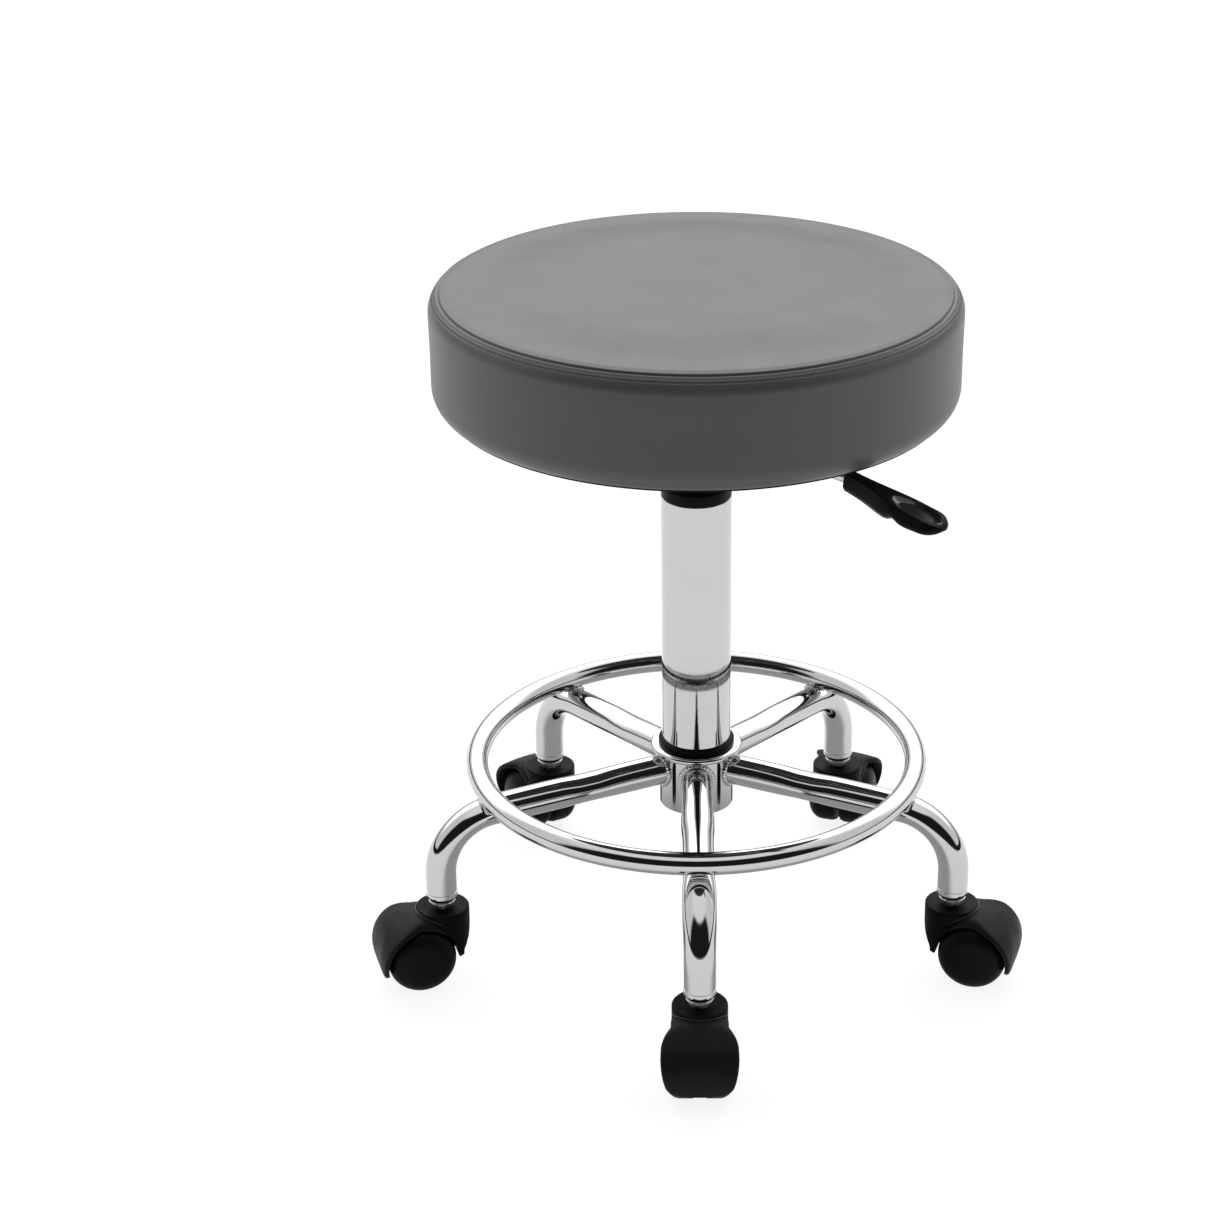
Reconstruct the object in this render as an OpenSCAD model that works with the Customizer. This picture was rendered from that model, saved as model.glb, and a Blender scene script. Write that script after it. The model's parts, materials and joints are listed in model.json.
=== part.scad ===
// Round salon stool on five twin-wheel casters: upholstered round cushion, gas-lift column
// with a height lever, five bent tube legs and a ring that the feet rest on.
// Millimetres, +Z up. The origin is on the column's axis, at floor level.

/* [Cushion] */
// Radius of the round cushion
seat_r = 180; // [165:1:200]
// Height of the cushion's flat top above the floor, at the lowest setting
seat_top = 510; // [500:1:515]
// Radius of the soft upper edge
edge_r = 14; // [8:1:20]
// Radius of the tucked lower edge
tuck_r = 17; // [12:1:20]
// Thickness of the artificial leather
cover_t = 1.2; // [0.8:0.1:2]
// Radius of the plywood board
board_r = 171; // [150:1:172]
// Thickness of the plywood board
board_t = 12; // [9:1:15]

/* [Gas lift] */
// Radius of the chromed outer tube
column_r = 25; // [25:0.5:30]
// Top of the chromed outer tube
column_top = 356; // [350:1:360]
// Radius of the sliding pressure cylinder
cylinder_r = 14; // [13.5:0.5:14]
// Radius of the piston rod
rod_r = 5; // [4.5:0.5:5]
// Height that the cushion can rise
lift = 140; // [100:1:140]

/* [Base] */
// Angle of the front leg, measured from the +X axis
front_leg_angle = -89.3; // [-92:0.1:-88]
// Number of legs
legs = 5; // [5:1:5]
// Radius of a leg's tube
leg_r = 11; // [10:0.5:12]
// Wall of every bent tube
tube_wall = 1.5; // [1.2:0.1:2]
// Distance from the column's axis to a leg's foot
leg_reach = 195; // [190:1:205]
// Radius of a leg's bend
bend_r = 45; // [40:1:50]
// Fall of a leg from the hub to its bend
leg_fall = 5.1; // [3:0.1:7]
// Height of a leg's axis at the hub
leg_root_z = 142.5; // [140:0.5:145]
// Radius of the foot ring, to its tube's axis
ring_r = 160.5; // [150:0.5:165]
// Radius of the foot ring's tube
ring_tube_r = 8; // [7:0.5:9]
// Top of the hub
hub_top = 162; // [160:1:164]

/* [Casters] */
// Radius of a wheel
wheel_r = 25; // [24:0.5:26]
// Distance from a caster's swivel axis to its axle
trail = 19; // [18:0.5:20]
// Direction in which each caster trails, from the front leg round
caster_angles = [-90, -17, 73, 120, 197];
// Radius of the caster's swivel boss
boss_r = 19.5; // [19:0.5:20]
// Top of the caster's swivel boss
boss_top = 59.5; // [58:0.5:61]
// Angle below level at which the hood ends
hood_end = 20; // [15:1:30]

/* [Lever] */
// Direction in which the lever points
lever_angle = -45; // [-50:1:-40]
// Distance from the column's axis to the tip of the handle
handle_tip = 232; // [228:1:240]
// Length of the handle
handle_l = 92; // [85:1:95]

/* [Hidden] */
$fn = 96;
eps = 0.05;
run = 0.06;             // radial clearance of a running fit

leg_names = [for (i = [1:legs]) str("leg_", i)];
caster_pieces = ["body", "axle", "wheel_left", "wheel_right"];

// Cushion stack
board_z = 429;
dust_t = 0.8;
dust_z = board_z - 1 - dust_t;
under_z = board_z - 1;               // underside of the folded cover
flat_r = 90;                         // flat middle of the cushion's top
crown_drop = 3;                      // fall from the flat middle to the edge

// Plate and its fasteners
plate_half = 75;
plate_t = 3;
plate_z = board_z - plate_t;
bolt_at = 55;
bolt_r = 3;
bolt_hole_r = 3.3;
nut_flange_r = 9.5;
nut_flange_t = 1.5;
nut_barrel_r = 4.2;
washer_t = 1.2;

// Lever
lever_rod_r = 4;
lever_in_z = 419.5;                  // level of the rod over the valve pin
lever_out_z = 404;                   // level of the rod in the handle
lever_pivot_at = 35;
lever_step = [45, 78];               // where the rod steps down
lever_rod_tip = handle_tip - 52;
pivot_r = 2.5;
slot_half = 5.6;

// Gas lift
cylinder_z = 150;
cylinder_top = 412;
cylinder_wall = 1.5;
chamber_top = 400;
gland_h = 15;
valve_r = 2.5;
bush_flange_h = 12;
bush_sleeve_h = 70;
column_wall = 2;
column_floor = 114;
column_floor_t = 3;
race_t = 2.5;
ball_r = 1.95;
ball_pitch_r = 12;
balls = 10;
ball_z = column_floor + column_floor_t + race_t + ball_r + eps;
race_r = 17;
upper_race_z = ball_z + ball_r + eps;
buffer_gap = 0.3;
clip_z = 111.4;
clip_t = 1.8;
rod_end = 108.5;
piston_z = cylinder_z + gland_h + lift + 5;
piston_h = 12;
seal_z = 4;                          // height of the seal's groove above the piston's end
seal_h = 4;
seal_depth = 1.7;
plate_hub_z = 376;
plate_hub_r = 19;

// Base
hub_r = 27;
hub_z = 107;
hub_lip_r = 33.5;
hub_lip_h = 5;
bend_x = leg_reach - bend_r;
bend_z = leg_root_z - tan(leg_fall) * (bend_x + bend_r * sin(leg_fall) - hub_r) - bend_r * cos(leg_fall);
ring_z = bend_z + sqrt(pow(bend_r + leg_r + ring_tube_r, 2) - pow(ring_r - bend_x, 2));
socket_z = 64;
socket_flange_h = 8;
leg_end_z = socket_z + socket_flange_h;
socket_top = 86;
socket_bore_r = 5.6;

// Casters
stem_r = 5.5;
stem_z = 49.5;
stem_top = 85;
stem_gap = 0.3;
grip_z = 78;
grip_h = 4;
well_r = wheel_r + 1.3;
hood_r = wheel_r + 7;
hood_half = 27;
hood_full_x = 15;                    // where the hood reaches its full width
side_curve_r = 57;                   // roundness of the hood's two sides
side_curve_z = 39;                   // height at which the hood is widest
barrel_curve_r = 140;                // roundness of the hood from rim to rim
chin_z = 24;
web_half = 1.6;
wheel_in = 2.2;
wheel_out = 25.5;
axle_r = 3;
axle_half = 18;

function leg_angle(i) = front_leg_angle + 360 / legs * i;

// ---------- shared shapes ----------

module ring_solid(r_in, r_out, h) {
  difference() {
    cylinder(r = r_out, h = h);
    translate([0, 0, -1]) cylinder(r = r_in, h = h + 2);
  }
}

module torus(r_big, r_small) {
  rotate_extrude($fn = 144) translate([r_big, 0]) circle(r = r_small, $fn = 48);
}

// Points along an arc about the centre c
function arc(c, r, from, to, n = 10) =
  [for (k = [0:n]) c + r * [cos(from + (to - from) * k / n), sin(from + (to - from) * k / n)]];

// A solid with the cushion's outer form, made smaller all round by inset
module cushion_form(inset) {
  low = under_z + inset;
  r = seat_r - inset;
  tuck = tuck_r - inset;
  edge = edge_r - inset;
  top = seat_top - inset;
  rotate_extrude($fn = 144) polygon(concat(
    [[0, low]],
    arc([r - tuck, low + tuck], tuck, -90, 0),
    arc([r - edge, top - crown_drop - edge], edge, 0, 90),
    [[flat_r, top], [0, top]]));
}

// Puts its children in the frame of the lever: +X along the lever
module along_lever() rotate([0, 0, lever_angle]) children();

module at_bolts() {
  along_lever() for (x = [-1, 1], y = [-1, 1]) translate([x * bolt_at, y * bolt_at, 0]) children();
}

module level_rod(r, from, to, z) {
  translate([from, 0, z]) rotate([0, 90, 0]) cylinder(r = r, h = to - from);
}

// A leg's bent bar, from inside the hub to its foot
module leg_bar(r) {
  start = hub_r - 8;
  run_l = (bend_x + bend_r * sin(leg_fall) - start) / cos(leg_fall);
  start_z = leg_root_z + tan(leg_fall) * (hub_r - start);
  union() {
    translate([start, 0, start_z]) rotate([0, 90 + leg_fall, 0]) cylinder(r = r, h = run_l);
    translate([bend_x, 0, bend_z]) rotate([90, 0, 0]) rotate_extrude(angle = 90 - leg_fall)
      translate([bend_r, 0]) circle(r = r, $fn = 48);
    translate([leg_reach, 0, leg_end_z]) cylinder(r = r, h = bend_z - leg_end_z);
  }
}

module at_leg(i) rotate([0, 0, leg_angle(i)]) children();
module at_foot(i) at_leg(i) translate([leg_reach, 0, 0]) children();

// A caster's own frame: the swivel axis at the origin and +X the way it trails
module at_caster(i) {
  translate([leg_reach * cos(leg_angle(i)), leg_reach * sin(leg_angle(i)), 0])
    rotate([0, 0, caster_angles[i]]) children();
}

// +Z along the axle, outwards on the given side
module on_axle(side) translate([trail, 0, wheel_r]) rotate([-90 * side, 0, 0]) children();

// ---------- cushion ----------

module seat_cover() {
  color("dimgray") difference() {
    cushion_form(0);
    cushion_form(cover_t);
    translate([0, 0, under_z - 1]) cylinder(r = board_r - 20, h = cover_t + 2);
  }
}

module seat_foam() {
  color("khaki") difference() {
    cushion_form(cover_t + eps);
    translate([0, 0, board_z - 5]) cylinder(r = board_r, h = board_t + 5);
    at_bolts() translate([0, 0, board_z + board_t - 1])
      cylinder(r = nut_flange_r + 0.2, h = nut_flange_t + 1.2);
  }
}

module seat_board() {
  color("burlywood") difference() {
    intersection() {
      translate([0, 0, board_z]) cylinder(r = board_r, h = board_t);
      cushion_form(cover_t + eps);
    }
    at_bolts() translate([0, 0, board_z - 1]) cylinder(r = nut_barrel_r, h = board_t + 2);
  }
}

module dust_cover() {
  color("black") translate([0, 0, dust_z]) ring_solid(plate_half * sqrt(2) + 5, board_r - 8, dust_t);
}

module cover_staples() {
  count = 24;
  crown = 10;
  wire = 0.9;
  color("silver") for (i = [0:count - 1]) rotate([0, 0, 360 / count * i])
    translate([board_r - 15, 0, dust_z]) {
      translate([-wire / 2, -crown / 2, -wire]) cube([wire, crown, wire]);
      for (s = [-1, 1]) translate([-wire / 2, s * (crown - wire) / 2 - wire / 2, -wire / 2])
        cube([wire, wire, 7]);
    }
}

module tee_nuts() {
  color("silver") at_bolts() difference() {
    union() {
      translate([0, 0, board_z + board_t]) cylinder(r = nut_flange_r, h = nut_flange_t);
      translate([0, 0, board_z + 3]) cylinder(r = nut_barrel_r, h = board_t - 2);
    }
    translate([0, 0, board_z]) cylinder(r = bolt_r, h = board_t + 5);
  }
}

// ---------- mechanism under the cushion ----------

module plate_bolts() {
  head_h = 4;
  color("silver") at_bolts() {
    translate([0, 0, plate_z - washer_t - head_h]) cylinder(r = 5.8, h = head_h, $fn = 6);
    translate([0, 0, plate_z - washer_t - 1]) cylinder(r = bolt_r, h = 18);
  }
}

module plate_washers() {
  color("silver") at_bolts() translate([0, 0, plate_z - washer_t])
    ring_solid(bolt_hole_r, 7, washer_t);
}

module mount_plate() {
  flange_h = 7;
  color("black") along_lever() difference() {
    union() {
      translate([-plate_half, -plate_half, plate_z]) cube([plate_half * 2, plate_half * 2, plate_t]);
      for (y = [-plate_half, plate_half - plate_t])
        translate([-plate_half, y, plate_z - flange_h]) cube([plate_half * 2, plate_t, flange_h + 1]);
    }
    for (x = [-1, 1], y = [-1, 1]) translate([x * bolt_at, y * bolt_at, plate_z - 1])
      cylinder(r = bolt_hole_r, h = plate_t + 2);
  }
}

module plate_hub() {
  slot_z = lever_in_z - lever_rod_r - 2.2;
  color("black") difference() {
    translate([0, 0, plate_hub_z]) cylinder(r = plate_hub_r, h = plate_z - plate_hub_z);
    translate([0, 0, plate_hub_z - 1]) cylinder(r = cylinder_r, h = plate_z - plate_hub_z + 2);
    along_lever() translate([0, -slot_half, slot_z]) cube([30, slot_half * 2, 30]);
  }
}

module lever_bracket() {
  ear_t = 3;
  color("black") along_lever() difference() {
    for (s = [-1, 1])
      translate([lever_pivot_at - 7, s * (slot_half + ear_t / 2) - ear_t / 2, lever_in_z - 7])
        cube([14, ear_t, plate_z - lever_in_z + 7]);
    translate([lever_pivot_at, 20, lever_in_z]) rotate([90, 0, 0]) cylinder(r = pivot_r + run, h = 40);
  }
}

// The half of the lever's frame that lies past a bend, cut at the bend's mitre plane
module past_bend(x, z, slope) {
  translate([x, 0, z]) rotate([0, slope / 2, 0]) translate([0, -20, -40]) cube([250, 40, 80]);
}

module lever_rod() {
  spare = 6;
  step = [lever_step[1] - lever_step[0], lever_in_z - lever_out_z];
  slope = atan2(step[1], step[0]);
  color("silver") along_lever() difference() {
    union() {
      difference() {
        level_rod(lever_rod_r, -5, lever_step[0] + spare, lever_in_z);
        past_bend(lever_step[0], lever_in_z, slope);
      }
      difference() {
        intersection() {
          translate([lever_step[0], 0, lever_in_z]) rotate([0, 90 + slope, 0]) translate([0, 0, -spare])
            cylinder(r = lever_rod_r, h = norm(step) + 2 * spare);
          past_bend(lever_step[0], lever_in_z, slope);
        }
        past_bend(lever_step[1], lever_out_z, slope);
      }
      intersection() {
        level_rod(lever_rod_r, lever_step[1] - spare, lever_rod_tip, lever_out_z);
        past_bend(lever_step[1], lever_out_z, slope);
      }
    }
    translate([lever_pivot_at, 20, lever_in_z]) rotate([90, 0, 0]) cylinder(r = pivot_r, h = 40);
  }
}

module lever_pivot() {
  color("silver") along_lever() translate([lever_pivot_at, slot_half + 4, lever_in_z]) rotate([90, 0, 0])
    cylinder(r = pivot_r, h = slot_half * 2 + 8);
}

// A paddle: an upright blade round the rod's end that widens to a flat round tip with a thumb recess
module lever_handle() {
  start = handle_tip - handle_l;
  blade_half = 5.5;
  tip_half = 11;
  top = lever_out_z + 9.5;
  low = lever_out_z - 9;
  color("black") along_lever() difference() {
    intersection() {
      translate([0, 30, 0]) rotate([90, 0, 0]) linear_extrude(height = 60)
        polygon([[start, low], [lever_rod_tip, low], [lever_rod_tip + 14, low + 1.5], [handle_tip, low],
                 [handle_tip, top - 11.5], [start + 20, top - 1.5], [start, top]]);
      translate([0, 0, low - 1]) linear_extrude(height = top - low + 2) union() {
        polygon([[start, -blade_half], [lever_rod_tip - 20, -blade_half],
                 [lever_rod_tip + 18, -tip_half], [handle_tip - tip_half, -tip_half],
                 [handle_tip - tip_half, tip_half], [lever_rod_tip + 18, tip_half],
                 [lever_rod_tip - 20, blade_half], [start, blade_half]]);
        translate([handle_tip - tip_half, 0]) circle(r = tip_half);
      }
    }
    translate([handle_tip - 25, 0, top + 28]) sphere(r = 40);
    level_rod(lever_rod_r, start - 5, lever_rod_tip, lever_out_z);
  }
}

// ---------- gas lift ----------

module pressure_cylinder() {
  color("dimgray") difference() {
    translate([0, 0, cylinder_z]) cylinder(r = cylinder_r, h = cylinder_top - cylinder_z);
    translate([0, 0, cylinder_z - 1])
      cylinder(r = cylinder_r - cylinder_wall, h = chamber_top - cylinder_z + 1);
    translate([0, 0, chamber_top - 1]) cylinder(r = valve_r + run, h = 20);
  }
}

module cylinder_gland() {
  color("black") translate([0, 0, cylinder_z])
    ring_solid(rod_r + run, cylinder_r - cylinder_wall, gland_h);
}

module valve_pin() {
  low = chamber_top + 2;
  gap = 0.25;
  color("silver") translate([0, 0, low])
    cylinder(r = valve_r, h = lever_in_z - lever_rod_r - gap - low);
}

module piston_rod() {
  color("silver") difference() {
    translate([0, 0, rod_end]) cylinder(r = rod_r, h = piston_z + piston_h - rod_end);
    translate([0, 0, clip_z]) ring_solid(rod_r - 1, rod_r + 1, clip_t);
  }
}

module piston() {
  color("silver") difference() {
    translate([0, 0, piston_z]) ring_solid(rod_r, cylinder_r - cylinder_wall - 0.08, piston_h);
    translate([0, 0, piston_z + seal_z])
      ring_solid(cylinder_r - cylinder_wall - seal_depth, cylinder_r, seal_h);
  }
}

module piston_seal() {
  color("black") translate([0, 0, piston_z + seal_z])
    ring_solid(cylinder_r - cylinder_wall - seal_depth, cylinder_r - cylinder_wall - run, seal_h);
}

module rubber_buffer() {
  low = upper_race_z + race_t;
  color("black") translate([0, 0, low]) ring_solid(rod_r, 13, cylinder_z - buffer_gap - low);
}

module upper_race() {
  color("silver") translate([0, 0, upper_race_z]) ring_solid(rod_r, race_r, race_t);
}

module retaining_clip() {
  color("silver") difference() {
    translate([0, 0, clip_z]) ring_solid(rod_r - 1, 9, clip_t);
    translate([0, -3, clip_z - 1]) cube([12, 6, clip_t + 2]);
  }
}

module at_balls() {
  for (i = [0:balls - 1]) rotate([0, 0, 360 / balls * i]) translate([ball_pitch_r, 0, ball_z]) children();
}

module bearing_cage() {
  cage_t = 1.8;
  color("goldenrod") difference() {
    translate([0, 0, ball_z - cage_t / 2]) ring_solid(8, 16, cage_t);
    at_balls() translate([0, 0, -5]) cylinder(r = ball_r + eps, h = 10);
  }
}

module bearing_balls() color("silver") at_balls() sphere(r = ball_r, $fn = 32);

module lower_race() {
  color("silver") translate([0, 0, column_floor + column_floor_t]) ring_solid(rod_r + 1.5, race_r, race_t);
}

module guide_bush() {
  sleeve_z = column_top - bush_sleeve_h;
  color("black") difference() {
    union() {
      translate([0, 0, sleeve_z]) cylinder(r = column_r - column_wall, h = bush_sleeve_h + 1);
      translate([0, 0, column_top]) cylinder(r = column_r, h = bush_flange_h - 3);
      translate([0, 0, column_top + bush_flange_h - 3]) cylinder(r1 = column_r, r2 = column_r - 3, h = 3);
    }
    translate([0, 0, sleeve_z - 1]) cylinder(r = cylinder_r + run, h = bush_sleeve_h + bush_flange_h + 2);
  }
}

module outer_tube() {
  color("silver") difference() {
    translate([0, 0, column_floor]) cylinder(r = column_r, h = column_top - column_floor);
    translate([0, 0, column_floor + column_floor_t]) cylinder(r = column_r - column_wall, h = column_top);
    translate([0, 0, column_floor - 1]) cylinder(r = rod_r + 0.08, h = 10);
  }
}

// ---------- base ----------

module hub() {
  lip_z = hub_top - hub_lip_h;
  mouth = 2.5;
  color("silver") difference() {
    union() {
      translate([0, 0, hub_z]) cylinder(r = hub_r, h = hub_top - hub_z);
      translate([0, 0, lip_z]) rotate_extrude() union() {
        square([hub_lip_r - hub_lip_h / 2, hub_lip_h]);
        translate([hub_lip_r - hub_lip_h / 2, hub_lip_h / 2]) circle(r = hub_lip_h / 2, $fn = 32);
      }
    }
    translate([0, 0, hub_z - 1]) cylinder(r = column_r, h = hub_top - hub_z + 2);
    translate([0, 0, hub_top - mouth])
      cylinder(r1 = column_r, r2 = column_r + mouth + 0.5, h = mouth + 0.5);
  }
}

module leg(i) {
  color("silver") at_leg(i) difference() {
    leg_bar(leg_r);
    leg_bar(leg_r - tube_wall);
    translate([0, 0, hub_z]) cylinder(r = hub_r, h = 80);
    translate([leg_reach, 0, leg_end_z - 1]) cylinder(r = leg_r - tube_wall, h = 2);
  }
}

// Closed tube with the small vent hole that plating needs, on its underside
module foot_ring() {
  color("silver") translate([0, 0, ring_z]) difference() {
    torus(ring_r, ring_tube_r);
    torus(ring_r, ring_tube_r - tube_wall);
    rotate([0, 0, front_leg_angle + 36]) translate([ring_r, 0, -ring_tube_r - 2]) cylinder(r = 2, h = 6);
  }
}

module leg_welds() {
  bead = 2.2;
  contact = atan2(ring_r - bend_x, ring_z - bend_z);
  color("silver") for (i = [0:legs - 1]) at_leg(i) {
    difference() {
      translate([hub_r, 0, leg_root_z]) rotate([0, 90 + leg_fall, 0]) torus(leg_r + 0.4, bead);
      translate([0, 0, hub_z]) cylinder(r = hub_r, h = 80);
      leg_bar(leg_r);
    }
    difference() {
      translate([bend_x + (bend_r + leg_r) * sin(contact), 0, bend_z + (bend_r + leg_r) * cos(contact)])
        rotate([90, 0, 0]) cylinder(r = 3.2, h = 11, center = true);
      translate([0, 0, ring_z]) torus(ring_r, ring_tube_r);
      leg_bar(leg_r);
    }
  }
}

module leg_sockets() {
  flange_r = leg_r + 0.4;
  bevel = 4;
  color("silver") for (i = [0:legs - 1]) at_foot(i) difference() {
    union() {
      translate([0, 0, socket_z]) cylinder(r1 = flange_r - bevel, r2 = flange_r, h = bevel);
      translate([0, 0, socket_z + bevel]) cylinder(r = flange_r, h = socket_flange_h - bevel);
      translate([0, 0, socket_z]) cylinder(r = leg_r - tube_wall, h = socket_top - socket_z);
    }
    translate([0, 0, socket_z - 1]) cylinder(r = socket_bore_r, h = socket_top - socket_z + 2);
  }
}

// ---------- casters ----------

module caster_stems() {
  color("silver") for (i = [0:legs - 1]) at_foot(i) difference() {
    union() {
      translate([0, 0, stem_z]) cylinder(r = stem_r, h = stem_top - stem_z - 1);
      translate([0, 0, stem_top - 1]) cylinder(r1 = stem_r, r2 = stem_r - 1, h = 1);
      translate([0, 0, boss_top + stem_gap]) cylinder(r = 8, h = socket_z - boss_top - stem_gap);
    }
    translate([0, 0, grip_z]) ring_solid(stem_r - 0.9, stem_r + 1, grip_h);
  }
}

module grip_rings() {
  color("silver") for (i = [0:legs - 1]) at_foot(i) difference() {
    translate([0, 0, grip_z + 0.2]) ring_solid(stem_r - 0.9, socket_bore_r, grip_h - 0.4);
    translate([0, -0.8, grip_z - 1]) cube([10, 1.6, grip_h + 2]);
  }
}

// Extrudes a side view, drawn in X and Z, across the caster's width
module across() translate([0, 30, 0]) rotate([90, 0, 0]) linear_extrude(height = 60) children();

// Barrel about the axle, a little narrower at its rims than in the middle
module hood_barrel() {
  on_axle(1) rotate_extrude() intersection() {
    translate([hood_r - barrel_curve_r, 0]) circle(r = barrel_curve_r, $fn = 144);
    translate([0, -hood_half]) square([hood_r + 1, hood_half * 2]);
  }
}

// Swivel boss: a cylinder whose lower front curves in under it, as a chin, to the wheels
module boss() {
  intersection() {
    cylinder(r = boss_r, h = boss_top);
    across() polygon([[-boss_r, boss_top], [-boss_r, 50], [-18.8, 43], [-17, 36], [-13.5, 29.5],
                      [-9, chin_z], [boss_r, chin_z], [boss_r, boss_top]]);
  }
}

// What the hood leaves open: all below its slanting rear edge and its chin
module hood_mouth() {
  across() polygon([[trail, wheel_r], [trail + 60 * cos(hood_end), wheel_r - 60 * sin(hood_end)],
                    [60, -20], [-40, -20], [-40, chin_z], [-5, chin_z]]);
}

module hood_plan() {
  end_x = trail + hood_r + 5;
  linear_extrude(height = wheel_r + hood_r + 1) union() {
    circle(r = boss_r);
    polygon([[0, -boss_r], [hood_full_x, -hood_half], [end_x, -hood_half],
             [end_x, hood_half], [hood_full_x, hood_half], [0, boss_r]]);
  }
}

module hood_side_drum(s) {
  translate([-40, s * (hood_half - side_curve_r), side_curve_z]) rotate([0, 90, 0])
    cylinder(r = side_curve_r, h = 110, $fn = 144);
}

// The hood, with bulging sides that are the common part of two wide drums
module hood_form() {
  difference() {
    union() {
      intersection() {
        hood_barrel();
        hood_plan();
        hood_side_drum(1);
        hood_side_drum(-1);
      }
      boss();
    }
    hood_mouth();
  }
}

module caster_body(i) {
  color("black") at_caster(i) difference() {
    union() {
      hood_form();
      translate([trail, 0, wheel_r]) rotate([90, 0, 0]) cylinder(r = 7, h = web_half * 2, center = true);
    }
    for (s = [-1, 1]) on_axle(s) translate([0, 0, web_half]) cylinder(r = well_r, h = 40);
    translate([0, 0, stem_z - stem_gap]) cylinder(r = stem_r + run, h = 30);
    translate([trail, 20, wheel_r]) rotate([90, 0, 0]) cylinder(r = axle_r, h = 40);
  }
}

module caster_axle(i) {
  color("silver") at_caster(i) translate([trail, axle_half, wheel_r]) rotate([90, 0, 0])
    cylinder(r = axle_r, h = axle_half * 2);
}

// Domed disc with a round shoulder and, inside, a deep ring-shaped recess around its bearing
module caster_wheel(i, side) {
  shoulder = 5;
  tread_end = 16.5;
  dome_r = 60;
  color("black") at_caster(i) on_axle(side) rotate_extrude() difference() {
    intersection() {
      union() {
        translate([0, wheel_in]) square([wheel_r, tread_end - wheel_in]);
        translate([wheel_r - shoulder, tread_end]) circle(r = shoulder, $fn = 48);
        translate([0, wheel_in]) square([wheel_r - shoulder, wheel_out]);
      }
      translate([0, wheel_out - dome_r]) circle(r = dome_r, $fn = 144);
      square([wheel_r + 1, wheel_out + 1]);
    }
    translate([0, wheel_in - 1]) square([axle_r + run, axle_half + 1.5 - wheel_in]);
    translate([8, wheel_in - 1]) square([13, 17]);
  }
}

// ---------- the nodes ----------

seat_cover();
seat_foam();
seat_board();
dust_cover();
cover_staples();
tee_nuts();
plate_bolts();
plate_washers();
mount_plate();
plate_hub();
lever_bracket();
pressure_cylinder();
cylinder_gland();
valve_pin();
lever_rod();
lever_pivot();
lever_handle();
piston_rod();
piston();
piston_seal();
rubber_buffer();
upper_race();
retaining_clip();
bearing_cage();
bearing_balls();
lower_race();
guide_bush();
outer_tube();
hub();
foot_ring();
leg_welds();
leg_sockets();
caster_stems();
grip_rings();
for (i = [0:legs - 1]) {
  leg(i);
  caster_body(i);
  caster_axle(i);
  caster_wheel(i, 1);
  caster_wheel(i, -1);
}
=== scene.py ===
"""Looks of a round rolling salon stool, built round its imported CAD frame.

Lengths are in millimetres, as in the CAD source, and become metres where a mesh is made.
"""
import json
import math

import bmesh
import bpy
from mathutils import Matrix, Vector
from mathutils.bvhtree import BVHTree


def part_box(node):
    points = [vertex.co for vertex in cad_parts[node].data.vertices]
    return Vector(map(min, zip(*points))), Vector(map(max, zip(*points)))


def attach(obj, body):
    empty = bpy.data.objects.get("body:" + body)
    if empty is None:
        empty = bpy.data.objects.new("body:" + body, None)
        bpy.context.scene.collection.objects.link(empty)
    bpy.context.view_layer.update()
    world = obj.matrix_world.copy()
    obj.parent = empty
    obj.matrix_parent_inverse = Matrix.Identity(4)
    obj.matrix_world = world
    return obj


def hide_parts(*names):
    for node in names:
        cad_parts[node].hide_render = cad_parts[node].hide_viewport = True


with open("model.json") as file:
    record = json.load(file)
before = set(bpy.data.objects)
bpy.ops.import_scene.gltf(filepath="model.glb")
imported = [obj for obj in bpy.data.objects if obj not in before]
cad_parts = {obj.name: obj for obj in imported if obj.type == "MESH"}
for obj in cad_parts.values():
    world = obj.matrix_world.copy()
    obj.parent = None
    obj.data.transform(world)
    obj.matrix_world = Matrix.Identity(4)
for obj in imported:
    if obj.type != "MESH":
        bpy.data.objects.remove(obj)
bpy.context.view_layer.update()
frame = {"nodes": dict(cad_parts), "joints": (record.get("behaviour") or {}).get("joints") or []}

MM = 0.001
LEGS = 5
CASTERS = range(1, LEGS + 1)


def box_mm(node):
    lo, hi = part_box(node)
    return lo / MM, hi / MM


def joint_point(name):
    """Where a joint's axis passes, in millimetres."""
    joint = next(j for j in frame["joints"] if j["name"] == name)
    return Vector(joint["pos_m"]) / MM


# ---------- camera, light and floor ----------

CAMERA_BACK = 1859.5
CAMERA_HEIGHT = 1119.4
CAMERA_DOWN = 24.58                    # degrees below level
LENS = 84.62
SHIFT = -0.0736


def make_camera():
    data = bpy.data.cameras.new("camera")
    data.lens = LENS
    data.shift_x = SHIFT
    camera = bpy.data.objects.new("camera", data)
    camera.location = Vector((0, -CAMERA_BACK, CAMERA_HEIGHT)) * MM
    camera.rotation_euler = (math.radians(90 - CAMERA_DOWN), 0, 0)
    bpy.context.scene.collection.objects.link(camera)
    bpy.context.scene.camera = camera


def add(tree, kind, values=(), **settings):
    """A shader node with its settings and its input values, given by input name or number."""
    made = tree.nodes.new(kind)
    for key, value in settings.items():
        setattr(made, key, value)
    for key, value in dict(values).items():
        if isinstance(value, bpy.types.NodeSocket):
            tree.links.new(value, made.inputs[key])
        else:
            made.inputs[key].default_value = value
    return made


def smooth_range(tree, value, low, high, to_low=0.0, to_high=1.0):
    """value mapped from low..high to to_low..to_high, with soft ends."""
    return add(tree, "ShaderNodeMapRange",
               {"Value": value, "From Min": low, "From Max": high, "To Min": to_low, "To Max": to_high},
               interpolation_type="SMOOTHSTEP").outputs["Result"]


def times(tree, a, b):
    return add(tree, "ShaderNodeMath", {0: a, 1: b}, operation="MULTIPLY").outputs[0]


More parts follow.
